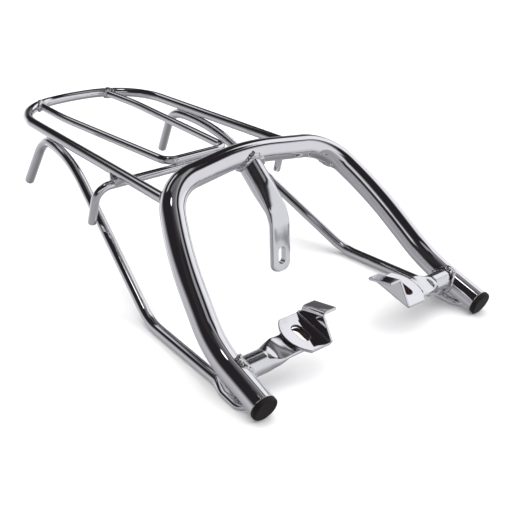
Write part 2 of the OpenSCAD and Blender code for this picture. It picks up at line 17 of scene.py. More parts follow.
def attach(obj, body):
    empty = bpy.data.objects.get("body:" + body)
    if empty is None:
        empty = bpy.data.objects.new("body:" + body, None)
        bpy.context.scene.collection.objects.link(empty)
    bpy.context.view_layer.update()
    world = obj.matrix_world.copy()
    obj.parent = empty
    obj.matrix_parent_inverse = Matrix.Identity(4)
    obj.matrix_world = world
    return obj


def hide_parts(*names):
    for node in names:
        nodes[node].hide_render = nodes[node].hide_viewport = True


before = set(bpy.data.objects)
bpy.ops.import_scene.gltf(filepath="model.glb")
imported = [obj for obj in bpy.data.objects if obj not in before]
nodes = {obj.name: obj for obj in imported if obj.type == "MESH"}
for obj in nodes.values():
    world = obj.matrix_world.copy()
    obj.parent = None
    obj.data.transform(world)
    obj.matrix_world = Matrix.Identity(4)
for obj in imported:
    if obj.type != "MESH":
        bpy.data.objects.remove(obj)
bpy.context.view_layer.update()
scene = bpy.context.scene
MM = 0.001
print("solids in the frame:", len(nodes))

# %% [markdown]
# ## The lines that the bars follow
# A bender works from a list of corner points and a bend radius for each. The
# same list makes the skin: straights run up to each bend, and an arc that
# touches both straights takes the corner. The numbers are the frame's own, in
# millimetres, on the right-hand side, and the left side mirrors them.

# %% Corner points and bend radii
RAIL_SLOPE = math.radians(39.9)
TUBE_D, LOOP_D, INNER_D, CROSS_D, STAY_D, STUB_D = 22.0, 10.0, 8.0, 8.0, 10.0, 20.0
TUBE_WALL = 1.8
CROSSBAR_Y, CROSSBAR_Z = 56.0, 82.8
LOOP_Z, LOOP_SLOPE = 60.9, math.radians(0.6)
LOOP_REAR_Y, LOOP_BOW, LOOP_REAR_X, LOOP_FRONT_X = 366.5, 9.2, 77.9, 93.9
FRONT_BAR_Y, WELD_GAP = 127.0, 0.2
BASE_SLOPE = math.radians(13.8)
WALL_X, BASE_Y, BASE_Z = 45.5, 91.3, 16.8
FLOOR_Z = -48.72


def on_slope(x, s):
    """A point of the grab rail's plane: x across, s down the slope."""
    return [x, CROSSBAR_Y - s * math.cos(RAIL_SLOPE), CROSSBAR_Z - s * math.sin(RAIL_SLOPE)]


def loop_height(y):
    """Height of the platform's outer rod at a distance behind the slot."""
    return LOOP_Z - (y - CROSSBAR_Y) * math.tan(LOOP_SLOPE)


def both_sides(half, middle=()):
    """A full line of points from its right half, mirrored, with the middle points between."""
    left = [[-p[0], p[1], p[2]] for p in half]
    return left[::-1] + list(middle) + half


rail_right = [on_slope(92.6, 13.5), on_slope(115.6, 74.8), on_slope(128.8, 157.7),
              [130.8, -125.3, -37.0]]
rail_line = both_sides(rail_right, [on_slope(0, 0)])
rail_radii = [114, 325, 48, 206, 48, 325, 114]

cope_y = on_slope(0, (CROSSBAR_Z - LOOP_Z) / math.sin(RAIL_SLOPE))[1]
loop_rear_corner_y = LOOP_REAR_Y - LOOP_BOW
loop_line = both_sides([[LOOP_REAR_X, loop_rear_corner_y, loop_height(loop_rear_corner_y)],
                        [LOOP_FRONT_X, cope_y, loop_height(cope_y)]],
                       [[0, LOOP_REAR_Y, loop_height(LOOP_REAR_Y)]])
loop_radii = [65, 150, 65]

inner_end_y = LOOP_REAR_Y - LOOP_BOW * 43.4 / LOOP_REAR_X - LOOP_D * 0.4
inner_narrow_y = inner_end_y - 54.4
inner_line = both_sides([[35.4, FRONT_BAR_Y, loop_height(FRONT_BAR_Y) - 1.0],
                         [45.8, inner_narrow_y, loop_height(inner_narrow_y) - 0.63],
                         [43.4, inner_end_y, loop_height(inner_end_y) - 0.5]])
inner_radii = [300, 12, 12, 300]

cross_z = loop_height(FRONT_BAR_Y) - (LOOP_D + CROSS_D) / 2 - WELD_GAP
cross_line = both_sides([[113.3, FRONT_BAR_Y, cross_z], [114.6, FRONT_BAR_Y + 9.7, cross_z - 36.8]])
cross_radii = [14.5, 14.5]

stay_under = (LOOP_D + STAY_D) / 2 + WELD_GAP
stay_line = [[87.4, 310.8, -7.0], [81.4, 281.0, loop_height(281.0) - stay_under],
             [87.6, 219.0, loop_height(219.0) - stay_under], [121.1, 35.8, -43.7],
             [129.7, -76.0, -43.7]]
stay_radii = [31, 168, 60]
print("outer rod meets the rail at y = %.1f mm" % cope_y)

# %% [markdown]
# ## Bars as a circle carried along a path
# Every bar is one surface with two parameters: how far along its path, and how
# far round its section. The path is sampled finely on the bends, so that the
# highlights run round them without a kink.


# %% Paths and swept skins
def unit(v):
    """A vector, or each row of vectors, scaled to length one."""
    v = np.asarray(v, float)
    return v / np.linalg.norm(v, axis=-1, keepdims=True)


def bent_path(points, radii, step=1.5):
    """Points every step millimetres along straights joined by arcs: each arc starts
    radius times tan of half the turn before its corner, and is centred square to it."""
    p = [np.array(q, float) for q in points]
    parts = [p[0][None]]
    for i in range(1, len(p) - 1):
        a, b = unit(p[i] - p[i - 1]), unit(p[i + 1] - p[i])
        turn = math.acos(float(np.clip(a @ b, -1, 1)))
        if turn < 1e-4:
            continue
        r = radii[i - 1]
        side = unit(np.cross(np.cross(a, b), a))
        start = p[i] - a * r * math.tan(turn / 2)
        t = np.linspace(0, turn, max(8, int(r * turn / step) * 2))[:, None]
        parts.append(start + side * r * (1 - np.cos(t)) + a * r * np.sin(t))
    parts.append(p[-1][None])
    rough = np.concatenate(parts)
    length = np.r_[0, np.cumsum(np.linalg.norm(np.diff(rough, axis=0), axis=1))]
    at = np.linspace(0, length[-1], int(length[-1] / step) + 2)
    return np.stack([np.interp(at, length, rough[:, k]) for k in range(3)], 1)


def path_frames(path, upright):
    """Tangent, sideways and upward directions along a path: the tangent is the slope of
    the points, sideways is square to it and to the upright, upward is square to both."""
    tangent = unit(np.gradient(path, axis=0))
    sideways = unit(np.cross(tangent, np.asarray(upright, float)))
    return tangent, sideways, np.cross(sideways, tangent)


def grid_faces(rows, columns):
    """Corner numbers of the quads between rings of points, ring after ring, each ring closed."""
    r, c = np.meshgrid(np.arange(rows - 1), np.arange(columns), indexing="ij")
    r2, c2 = r + 1, (c + 1) % columns
    corners = [r * columns + c, r * columns + c2, r2 * columns + c2, r2 * columns + c]
    return np.stack(corners, -1).reshape(-1, 4)


def make_mesh(name, points, faces, smooth=True):
    """An object at the origin from points in millimetres and rows of corner numbers,
    with its faces turned outwards."""
    mesh = bpy.data.meshes.new(name)
    mesh.from_pydata((np.asarray(points, float) * MM).tolist(), [], [list(map(int, f)) for f in faces])
    mesh.update()
    bm = bmesh.new()
    bm.from_mesh(mesh)
    bmesh.ops.remove_doubles(bm, verts=bm.verts, dist=1e-7)
    bmesh.ops.recalc_face_normals(bm, faces=bm.faces)
    bm.to_mesh(mesh)
    bm.free()
    mesh.shade_smooth() if smooth else mesh.shade_flat()
    obj = bpy.data.objects.new(name, mesh)
    scene.collection.objects.link(obj)
    return obj


def tube_surface(path, radius, upright, round_n=48):
    """Surface points: path + radius * (sideways * cos a + upward * sin a)."""
    _, side, up = path_frames(path, upright)
    a = np.linspace(0, 2 * math.pi, round_n, endpoint=False)
    radius = np.broadcast_to(np.asarray(radius, float), (len(path),))
    ring = side[:, None] * np.cos(a)[None, :, None] + up[:, None] * np.sin(a)[None, :, None]
    return path[:, None] + ring * radius[:, None, None]


def closed_bar(name, path, diameter, upright, round_n=48, rim=0.6):
    """A solid bar: rings along the path, drawn in over the rim at both ends, and an end cap."""
    rings = tube_surface(path, diameter / 2, upright, round_n)
    tangent = path_frames(path, upright)[0]
    caps = []
    for end, sign in ((0, -1), (-1, 1)):
        t = np.linspace(0, math.pi / 2, 5)[1:]
        inset = diameter / 2 - rim * (1 - np.cos(t))
        ahead = rim * np.sin(t) * sign
        ring = (rings[end] - path[end]) / (diameter / 2)
        edge = path[end] + ring[None] * inset[:, None, None] + tangent[end] * ahead[:, None, None]
        centre = np.repeat((path[end] + tangent[end] * rim * sign)[None, None], round_n, 1)
        caps.append(np.concatenate([edge, centre]))
    rings = np.concatenate([caps[0][::-1], rings, caps[1]])
    return make_mesh(name, rings.reshape(-1, 3), grid_faces(len(rings), round_n))


# %% [markdown]
# ## Shader maths in plain expressions
# A value in a shader is a wire. Wrapping the wire lets it be added or
# multiplied as a number is, and each step adds one Math node.


# %% A wrapped socket and a material maker
class Wire:
    """One socket of a node tree that can be used in expressions."""

    def __init__(self, maker, socket):
        self.maker, self.socket = maker, socket

    def math(self, operation, *others):
        values = {i: o for i, o in enumerate((self,) + others)}
        return self.maker.node("ShaderNodeMath", {"operation": operation}, values)

    def __add__(self, o): return self.math("ADD", o)
    def __mul__(self, o): return self.math("MULTIPLY", o)
    __radd__, __rmul__ = __add__, __mul__

    def __rsub__(self, o):
        return self.maker.node("ShaderNodeMath", {"operation": "SUBTRACT"}, {0: o, 1: self})


class Nodes:
    """A node tree that expressions can be written in."""

    def __init__(self, tree):
        self.tree = tree

    def node(self, kind, settings, values, output=0):
        """Adds a node: its settings first, then a value or a wire for each named socket."""
        n = self.tree.nodes.new(kind)
        for key, value in settings.items():
            setattr(n, key, value)
        for key, value in values.items():
            if isinstance(value, Wire):
                self.tree.links.new(value.socket, n.inputs[key])
            else:
                n.inputs[key].default_value = value
        return Wire(self, n.outputs[output])

    def ramp(self, factor, stops):
        """Reads a value off a ramp of (place, colour) stops."""
        n = self.tree.nodes.new("ShaderNodeValToRGB")
        while len(n.color_ramp.elements) < len(stops):
            n.color_ramp.elements.new(0.5)
        for element, (place, colour) in zip(n.color_ramp.elements, stops):
            element.position, element.color = place, tuple(colour) + (1.0,)
        self.tree.links.new(factor.socket, n.inputs["Fac"])
        return Wire(self, n.outputs["Color"])


class Finish(Nodes):
    """A material with one Principled shader and the nodes that feed it."""

    def __init__(self, name, **constants):
        self.material = bpy.data.materials.new(name)
        self.material.use_nodes = True
        super().__init__(self.material.node_tree)
        self.shader = next(n for n in self.tree.nodes if n.type == "BSDF_PRINCIPLED")
        for key, value in constants.items():
            self.shader.inputs[key.replace("_", " ")].default_value = value
        self.place = self.node("ShaderNodeTexCoord", {}, {}, "Object")

    def noise(self, scale, detail=3.0, rough=0.55):
        """Cloudy noise from 0 to 1 with features about 1 / scale metres apart."""
        return self.node("ShaderNodeTexNoise", {}, {"Vector": self.place, "Scale": scale,
                         "Detail": detail, "Roughness": rough}, "Fac")

    def feed(self, socket, wire):
        self.tree.links.new(wire.socket, self.shader.inputs[socket])

    def bump(self, height, distance, strength=1.0):
        """Height in a bump node that feeds the normal; distance is the relief in metres."""
        normal = self.node("ShaderNodeBump", {}, {"Height": height, "Distance": distance,
                           "Strength": strength}, "Normal")
        self.feed("Normal", normal)

    def put_on(self, *objects):
        for o in objects:
            o.data.materials.clear()
            o.data.materials.append(self.material)


# %% [markdown]
# ## Chrome
# Decorative chrome over nickel is a nearly perfect mirror with a cool cast. It
# is never quite clean: polishing leaves faint waves, and handling leaves a thin
# film that dulls the mirror in soft patches.

# %% Finishes
def chrome(name, tint, dull, wave):
    """A mirror with patches of thin film: roughness = dull + a little cloudy noise."""
    m = Finish(name, Metallic=1.0)
    film = m.noise(38.0, 4.0)
    fine = m.noise(420.0, 2.0)
    m.feed("Roughness", dull + film * 0.022 + fine * 0.012)
    pale = tuple(min(1.0, c * 1.04) for c in tint)
    m.feed("Base Color", m.ramp(film, [(0.35, tint), (0.7, pale)]))
    m.bump(m.noise(150.0, 2.0), wave)
    return m


tube_chrome = chrome("tube chrome", (0.84, 0.835, 0.865), 0.012, 0.00002)
rod_chrome = chrome("rod chrome", (0.83, 0.83, 0.855), 0.016, 0.00002)
sheet_chrome = chrome("sheet chrome", (0.84, 0.84, 0.865), 0.016, 0.00003)
pressed_chrome = chrome("pressed tube chrome", (0.83, 0.83, 0.86), 0.13, 0.00004)

weld_chrome = Finish("plated weld", Metallic=1.0)
weld_chrome.feed("Roughness", 0.10 + weld_chrome.noise(900.0, 3.0) * 0.12)
weld_chrome.feed("Base Color", weld_chrome.ramp(weld_chrome.noise(300.0, 4.0),
                 [(0.3, (0.66, 0.65, 0.64)), (0.7, (0.82, 0.82, 0.84))]))
weld_chrome.bump(weld_chrome.noise(620.0, 2.0), 0.00007)

# The weld chrome with a much darker base colour: painted shade for the beads that join the bracket plates
painted_shade_weld = Finish("weld darkened with painted shade", Metallic=1.0)
painted_shade_weld.feed("Roughness", 0.22 + painted_shade_weld.noise(900.0, 3.0) * 0.15)
painted_shade_weld.feed("Base Color", painted_shade_weld.ramp(painted_shade_weld.noise(300.0, 4.0),
                 [(0.3, (0.16, 0.15, 0.15)), (0.7, (0.32, 0.31, 0.32))]))
painted_shade_weld.bump(painted_shade_weld.noise(620.0, 2.0), 0.00007)

# Dark brown for the walls of the slots: painted shade inside the slot
slot_painted_shade = Finish("slot wall, dark brown painted shade", Metallic=1.0)
slot_painted_shade.feed("Roughness", 0.4 + slot_painted_shade.noise(900.0, 3.0) * 0.2)
slot_painted_shade.feed("Base Color", slot_painted_shade.ramp(slot_painted_shade.noise(500.0, 4.0),
                [(0.3, (0.05, 0.028, 0.025)), (0.7, (0.12, 0.075, 0.07))]))
slot_painted_shade.bump(slot_painted_shade.noise(1200.0, 2.0), 0.00005)

plug_plastic = Finish("moulded black plastic", Specular_IOR_Level=0.25)
grain = plug_plastic.noise(1800.0, 3.0)
plug_plastic.feed("Base Color", plug_plastic.ramp(plug_plastic.noise(120.0, 3.0),
                  [(0.3, (0.006, 0.005, 0.005)), (0.75, (0.014, 0.011, 0.011))]))
plug_plastic.feed("Roughness", 0.42 + grain * 0.2)
plug_plastic.bump(grain, 0.00006)

# %% [markdown]
# ## The grab rail
# One tube, bent seven times, open at both ends. Only its outside and the last
# stretch of its bore show, so the skin runs along the outside, over the cut
# edge and a little way back inside.


# %% Grab rail
def open_tube(name, path, diameter, bore, upright, round_n=64, depth=16.0):
    """Rings along the outside, over the cut edges, and back into the bore at both ends."""
    outside = tube_surface(path, diameter / 2, upright, round_n)
    tangent = path_frames(path, upright)[0]
    parts = []
    for end, sign in ((0, -1), (-1, 1)):
        ring = (outside[end] - path[end]) / (diameter / 2)
        radius = np.array([bore / 2, bore / 2, bore / 2 + 0.25, diameter / 2 - 0.3])
        back = np.array([depth, 0.3, 0.0, 0.0]) * -sign
        part = path[end] + ring[None] * radius[:, None, None] + tangent[end] * back[:, None, None]
        parts.append(part)
    rings = np.concatenate([parts[0], outside, parts[1][::-1]])
    return make_mesh(name, rings.reshape(-1, 3), grid_faces(len(rings), round_n))


slope_normal = [0, math.sin(RAIL_SLOPE), -math.cos(RAIL_SLOPE)]
rail_path = bent_path(rail_line, rail_radii, 1.2)
rail_skin = open_tube("rail_skin", rail_path, TUBE_D, TUBE_D - 2 * TUBE_WALL, slope_normal)
tube_chrome.put_on(rail_skin)
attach(rail_skin, "root")
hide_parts("grab_rail")
print("grab rail: %.0f mm of tube" % np.linalg.norm(np.diff(rail_path, axis=0), axis=1).sum())

# %% [markdown]
# ## The platform
# Two loops of rod and a cross rod under them. The outer loop's front ends are
# shaped to the rail and welded, so here they simply run into the tube.

# %% Loops and cross rod
for name, line, radii, d, upright, node in (
        ("outer_loop_skin", loop_line, loop_radii, LOOP_D, [0, 0, 1], "carrier_loop"),
        ("inner_loop_skin", inner_line, inner_radii, INNER_D, [0, 0, 1], "inner_loop"),
        ("cross_rod_skin", cross_line, cross_radii, CROSS_D, [0, 1, 0.05], "cross_rod")):
    rod_path = bent_path(line, radii, 1.2)
    skin = closed_bar(name, rod_path, d, upright)
    rod_chrome.put_on(skin)
    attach(skin, "root")
    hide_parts(node)
    print(name, "points along it:", len(rod_path))

# %% [markdown]
# ## The stays
# Each stay is a round rod whose lower end is pressed flat. The section eases
# from a circle into a thin rounded strip, and the strip ends in a round tip.


# %% Stays
def pressed_rod(name, path, half_wide, half_thick, power, upright, round_n=48):
    """Rings whose half width, half thickness and squareness change along the path:
    sideways * w * c + upward * h * s, with c and s the signed powers of cos and sin."""
    _, side, up = path_frames(path, upright)
    a = np.linspace(0, 2 * math.pi, round_n, endpoint=False)
    e = (2.0 / power)[:, None]
    c = np.sign(np.cos(a)) * np.abs(np.cos(a)) ** e
    s = np.sign(np.sin(a)) * np.abs(np.sin(a)) ** e
    rings = path[:, None] + side[:, None] * (half_wide[:, None] * c)[..., None] \
        + up[:, None] * (half_thick[:, None] * s)[..., None]
    centre = [np.repeat(path[k][None, None], round_n, 1) for k in (0, -1)]
    rings = np.concatenate([centre[0], rings, centre[1]])
    return make_mesh(name, rings.reshape(-1, 3), grid_faces(len(rings), round_n))


def ease(x):
    """Smooth step from 0 to 1."""
    x = np.clip(x, 0, 1)
    return x * x * (3 - 2 * x)


def leg_underside(y):
    """Height of the lowest line of the rail's end straight at a place along the rack."""
    a, b = rail_right[2], rail_right[3]
    rise = (a[2] - b[2]) / (a[1] - b[1])
    slant = math.hypot(a[1] - b[1], a[2] - b[2]) / (a[1] - b[1])
    return b[2] + (y - b[1]) * rise - TUBE_D / 2 * slant


PADDLE_W, PADDLE_T, PADDLE_L = 18.0, 4.6, 34.0
before, last = stay_line[-2:]
tip_y = last[1] - PADDLE_L
tip_x = last[0] + (last[0] - before[0]) * PADDLE_L / (before[1] - last[1])
tip = [tip_x, tip_y, leg_underside(tip_y) - PADDLE_T / 2]
for side_name, sign in (("left", -1), ("right", 1)):
    line = [[sign * p[0], p[1], p[2]] for p in stay_line + [tip]]
    stay_path = bent_path(line, stay_radii + [60], 1.2)
    length = np.r_[0, np.cumsum(np.linalg.norm(np.diff(stay_path, axis=0), axis=1))]
    left_to_go = length[-1] - length
    press = ease((PADDLE_L + 9 - left_to_go) / 20)
    r = PADDLE_W / 2
    tip_round = np.sqrt(np.clip(1 - np.clip(1 - left_to_go / r, 0, 1) ** 2, 0, 1))
    wide = (STAY_D / 2 + (r - STAY_D / 2) * press) * np.maximum(tip_round, 0.04)
    thick = STAY_D / 2 + (PADDLE_T / 2 - STAY_D / 2) * press
    thick = thick * np.maximum(ease(left_to_go / 1.2), 0.55)
    start_round = np.sqrt(np.clip(1 - np.clip(1 - length / 1.0, 0, 1) ** 2, 0, 1)) * 0.15 + 0.85
    wide, thick = wide * start_round, thick * start_round
    skin = pressed_rod(side_name + "_stay_skin", stay_path, wide, thick, 2 + 1.6 * press, [0, 0, 1])
    rod_chrome.put_on(skin)
    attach(skin, "root")
    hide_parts(side_name + "_stay")
print("stay: %.0f mm of rod" % length[-1])

# %% [markdown]
# ## Tubes crushed flat
# The middle tab and the two stubs start as round tube and end as a flat strip.
# A press makes that change in one stroke, so the skin goes from the circle to
# the strip without a step: a section with two round sides and a flat between
# them, whose width and thickness follow a few stations of the frame.


# %% Crushed tube
def eased_stations(stations, step, soften):
    """Stations (place, half width, half thickness) read every step millimetres of path, then
    averaged over a window of soften millimetres so that no station shows as a crease."""
    rows = np.array([list(p) + [w, t] for p, w, t in stations], float)
    length = np.r_[0, np.cumsum(np.linalg.norm(np.diff(rows[:, :3], axis=0), axis=1))]
    at = np.linspace(0, length[-1], int(length[-1] / step) + 2)
    dense = np.stack([np.interp(at, length, rows[:, k]) for k in range(5)], 1)
    n = int(soften / step) | 1
    kernel = np.hanning(n + 2)[1:-1]
    kernel /= kernel.sum()
    # Straight runs before and after keep the ends where they are
    before = dense[0] - (dense[1] - dense[0]) * np.arange(n // 2, 0, -1)[:, None]
    after = dense[-1] + (dense[-1] - dense[-2]) * np.arange(1, n // 2 + 1)[:, None]
    before[:, 3:], after[:, 3:] = dense[0, 3:], dense[-1, 3:]
    padded = np.concatenate([before, dense, after])
    smooth = np.stack([np.convolve(padded[:, k], kernel, "valid") for k in range(5)], 1)
    return smooth[:, :3], smooth[:, 3], smooth[:, 4]


def crushed_tube(name, path, half_wide, half_thick, upright, turn=0.0, round_n=72):
    """Rings sideways * ((w - t) * f + t * cos a) + upward * t * sin a, where f runs from -1 to 1
    over the middle of each flat side, and a closing fan at both ends. Each section is turned
    about the path by its own angle."""
    _, side, up = path_frames(path, upright)
    turn = np.broadcast_to(np.asarray(turn, float), (len(path),))[:, None]
    side, up = side * np.cos(turn) - up * np.sin(turn), up * np.cos(turn) + side * np.sin(turn)
    a = np.linspace(0, 2 * math.pi, round_n, endpoint=False)
    f = np.clip(np.cos(a) / 0.62, -1, 1)
    f = f * (1.5 - 0.5 * f * f)
    w, t = half_wide[:, None], half_thick[:, None]
    rings = path[:, None] + side[:, None] * ((w - t) * f + t * np.cos(a))[..., None] \
        + up[:, None] * (t * np.sin(a))[..., None]
    fans = [np.repeat(path[k][None, None], round_n, 1) for k in (0, -1)]
    rings = np.concatenate([fans[0], rings, fans[1]])
    return make_mesh(name, rings.reshape(-1, 3), grid_faces(len(rings), round_n))


def rounded_end(path, half_wide, half_thick, corner, edge):
    """Width drawn in along a quarter circle of the corner's radius towards the last point, and
    thickness drawn in over the last edge millimetres."""
    to_go = np.linalg.norm(path[-1] - path, axis=1)
    near = np.clip(1 - to_go / corner, 0, 1)
    wide = half_wide - corner * (1 - np.sqrt(1 - near ** 2))
    thin = np.clip(1 - to_go / edge, 0, 1)
    thick = half_thick - edge * (1 - np.sqrt(1 - thin ** 2))
    return np.maximum(wide, thick), thick


def finer_end(path, values, reach, step):
    """The same path and values with more points over its last reach millimetres."""
    length = np.r_[0, np.cumsum(np.linalg.norm(np.diff(path, axis=0), axis=1))]
    t = np.linspace(0, math.pi / 2, int(reach * 1.6 / step))
    at = np.r_[length[length < length[-1] - reach], length[-1] - reach * (1 - np.sin(t))]
    read = lambda v: np.interp(at, length, v)
    return np.stack([read(path[:, k]) for k in range(3)], 1), [read(v) for v in values]


LEAN = math.radians(5.0)


def leaning(p):
    """A point moved into the frame of the tab's flat, which leans back about its slot:
    x across, y behind the front face, z up the face."""
    return [p[0], p[1] * math.cos(LEAN) + p[2] * math.sin(LEAN),
            p[2] * math.cos(LEAN) - p[1] * math.sin(LEAN)]


# Stations: a point of the path, half the width and half the thickness there
TAB_T = 6.0
tab_stations = [([0, 54.0, 77.2], 11.0, 11.0), ([0, 29.4, 56.7], 11.0, 11.0),
                ([0, 19.8, 48.6], 10.9, 8.2), ([0, 10.9, 41.2], 11.2, 5.2),
                (leaning([0, TAB_T / 2, 31.0]), 11.2, 3.0), (leaning([0, TAB_T / 2, -15.4]), 11.2, 3.0)]
tab_path, tab_wide, tab_thick = eased_stations(tab_stations, 0.6, 11.0)
tab_path, (tab_wide, tab_thick) = finer_end(tab_path, [tab_wide, tab_thick], 8.0, 0.5)
tab_wide, tab_thick = rounded_end(tab_path, tab_wide, tab_thick, 8.0, 0.7)
tab = crushed_tube("middle_tab_skin", tab_path, tab_wide, tab_thick, [0, -1, 1])

# A stub runs straight in from the leg, and its flat lies under the bracket plate's base
plate_normal = np.array([0.0, -math.sin(BASE_SLOPE), math.cos(BASE_SLOPE)])
plate_along = np.array([0.0, math.cos(BASE_SLOPE), math.sin(BASE_SLOPE)])
STUB_TUBE, STUB_FLAT, STUB_R = [-90.8, -26.0], [-92.91, -19.46], STUB_D / 2
stubs = []
for side_name, sign in (("left", -1), ("right", 1)):
    stub_stations = [([sign * 121.0] + STUB_TUBE, STUB_R, STUB_R),
                     ([sign * 100.5] + STUB_TUBE, STUB_R, STUB_R),
                     ([sign * 93.0, -91.7, -23.2], 11.3, 6.6), ([sign * 86.5] + STUB_FLAT, 12.0, 2.2),
                     ([sign * 52.5] + STUB_FLAT, 12.0, 2.2)]
    stub_path, stub_wide, stub_thick = eased_stations(stub_stations, 0.6, 6.0)
    stub_path, (stub_wide, stub_thick) = finer_end(stub_path, [stub_wide, stub_thick], 9.0, 0.5)
    stub_wide, stub_thick = rounded_end(stub_path, stub_wide, stub_thick, 9.0, 0.5)
    # Between the tube and the plate the flat leans a little further forward than the plate
    along = np.abs(stub_path[:, 0])
    lean_more = math.radians(8) * np.exp(-((along - 90.0) / 5.0) ** 2)
    stub = crushed_tube(side_name + "_stub_skin", stub_path, stub_wide, stub_thick, plate_normal,
                        -sign * lean_more)
    stubs.append((side_name, sign, stub))
print("tab skin: %d rings, stub skin: %d rings" % (len(tab_path), len(stub_path)))

# %% [markdown]
# ## The slots in the tab and the stubs
# A slot is punched after the tube is flat. Here a long rounded cutter goes
# through the strip, and the rim gets a small rounding like a deburred edge.
# A stub's flat runs on under the bracket plate, so its slot lies under the
# plate's own. The walls of the stubs' and plates' slots are painted dark brown:
# painted shade inside the slot.


# %% Slots
def stadium_cutter(name, width, length, depth, place):
    """A prism round a stadium: two half circles width across, length over all, each point
    put in its place by a function."""
    a = np.linspace(-math.pi / 2, math.pi / 2, 17)
    r, straight = width / 2, (length - width) / 2
    top = np.stack([r * np.sin(a), straight + r * np.cos(a)], 1)
    outline = np.concatenate([top, -top])
    front, back = [[[x, d, z] for x, z in outline] for d in (-depth, depth)]
    front, back = ([place(p) for p in ring] for ring in (front, back))
    n = len(outline)
    sides = [[i, (i + 1) % n, n + (i + 1) % n, n + i] for i in range(n)]
    return make_mesh(name, front + back, sides + [list(range(n)), list(range(n, 2 * n))], smooth=False)


TAB_SLOT_W, TAB_SLOT_L = 8.5, 17.0
PLATE_SLOT_W, PLATE_SLOT_L, PLATE_SLOT_X = 9.0, 19.0, WALL_X + 16.5
CUTTER_DEPTH = 14.0


def slot_centre(sign):
    """The centre of a bracket plate's slot, on the top face of the plate's base."""
    return np.array([sign * PLATE_SLOT_X, -BASE_Y, -BASE_Z])


def on_plate(sign):
    """A function that puts a point in the frame of a bracket plate's slot: x across, y up
    from the plate, z along it."""
    return lambda p: list(slot_centre(sign) + [p[0], 0, 0] + p[1] * plate_normal + p[2] * plate_along)


def paint_slot_shade(piece, sign, margin=0.2):
    """Gives the walls of a slot a second finish, dark brown painted shade: faces square to the plate
    whose middles lie, in the plate's frame, less than half the slot's width and length from its centre."""
    middles = np.array([list(f.center) for f in piece.data.polygons]) / MM - slot_centre(sign)
    normals = np.array([list(f.normal) for f in piece.data.polygons])
    inside = (np.abs(normals @ plate_normal) < 0.2) \
        & (np.abs(middles[:, 0]) < PLATE_SLOT_W / 2 + margin) \
        & (np.abs(middles @ plate_along) < PLATE_SLOT_L / 2 + margin)
    # The walls found here take the dark brown finish: painted shade inside the slot
    piece.data.materials.append(slot_painted_shade.material)
    piece.data.polygons.foreach_set("material_index", inside.astype(np.int32))
    piece.data.update()
    return int(inside.sum())


def punched(piece, cutter):
    """The piece's mesh less the cutter's, worked out once; the cutter is then removed."""
    cut = piece.modifiers.new("slot", "BOOLEAN")
    cut.operation, cut.solver, cut.object = "DIFFERENCE", "EXACT", cutter
    bpy.context.view_layer.update()
    mesh = bpy.data.meshes.new_from_object(piece.evaluated_get(bpy.context.evaluated_depsgraph_get()))
    piece.modifiers.clear()
    piece.data = mesh
    bpy.data.objects.remove(cutter)


punched(tab, stadium_cutter("slot_cutter", TAB_SLOT_W, TAB_SLOT_L, CUTTER_DEPTH, leaning))
for _, sign, stub in stubs:
    punched(stub, stadium_cutter("slot_cutter", PLATE_SLOT_W, PLATE_SLOT_L, CUTTER_DEPTH, on_plate(sign)))
CUT_EDGE = math.radians(50)
for piece, node in [(tab, "middle_tab")] + [(stub, side_name + "_stub") for side_name, _, stub in stubs]:
    piece.data.shade_smooth()
    piece.data.set_sharp_from_angle(angle=CUT_EDGE)
    rim = piece.modifiers.new("rounded edges", "BEVEL")
    rim.width, rim.segments, rim.limit_method, rim.angle_limit = 0.45 * MM, 3, "ANGLE", CUT_EDGE
    pressed_chrome.put_on(piece)
    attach(piece, "root")
    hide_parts(node)
walls = [paint_slot_shade(stub, sign) for _, sign, stub in stubs]
print("tab after the slot:", len(tab.data.polygons), "faces; painted slot shade faces in the stubs:", walls)

# %% [markdown]
# ## Folded sheet and plugs
# These solids already have the right form. Their skins are copies with merged
# points and a small rounding on every sharp edge, because a pressed or moulded
# edge always catches a line of light. The sheet's edge is rounded most, and
# the walls of its slot get the same painted shade, a dark brown, as the stub's below it.


# %% Softened copies of solids
def merged_copy(node, name):
    """A copy of a solid's mesh with its doubled points merged and its flat parts joined."""
    mesh = nodes[node].data.copy()
    bm = bmesh.new()
    bm.from_mesh(mesh)
    bmesh.ops.remove_doubles(bm, verts=bm.verts, dist=2e-6)
    bmesh.ops.dissolve_limit(bm, angle_limit=math.radians(0.5), verts=bm.verts, edges=bm.edges)
    bm.to_mesh(mesh)
    bm.free()
    mesh.shade_smooth()
    copy = bpy.data.objects.new(name, mesh)
    scene.collection.objects.link(copy)
    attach(copy, "root")
    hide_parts(node)
    return copy


SHARP_EDGE = math.radians(32)


def softened(node, width, segments=3, full_width=False):
    """A merged copy with rounded edges; full_width keeps short edges from narrowing them."""
    skin = merged_copy(node, node + "_skin")
    bevel = skin.modifiers.new("rounded edges", "BEVEL")
    bevel.use_clamp_overlap = not full_width
    bevel.width, bevel.segments = width * MM, segments
    bevel.limit_method, bevel.angle_limit = "ANGLE", SHARP_EDGE
    weighted = skin.modifiers.new("even shading", "WEIGHTED_NORMAL")
    weighted.keep_sharp = True
    return skin


for side_name, sign in (("left", -1), ("right", 1)):
    plate = softened(side_name + "_bracket_plate", 0.8, 4, full_width=True)
    sheet_chrome.put_on(plate)
    print(side_name, "plate, painted slot shade faces:", paint_slot_shade(plate, sign))
    plug = softened(side_name + "_end_plug", 0.3)
    plug_plastic.put_on(plug)

# %% [markdown]
# ## Weld beads
# A bead is metal that ran and froze, then was plated with the rest. Its solid
# has the right place and size but a plain form, so the skin is that solid
# remeshed finely, relaxed, and swollen a little by cloudy noise.
# The webs between the outer rod and the cross rod are smooth, and the collars
# round the rods' ends and the bead above the tab are the lumpiest. The beads
# that join the bracket plates get a darker chrome: painted shade.

# %% Beads
ripple = bpy.data.textures.new("bead ripple", "CLOUDS")
ripple.noise_scale, ripple.noise_depth = 3.0 * MM, 1
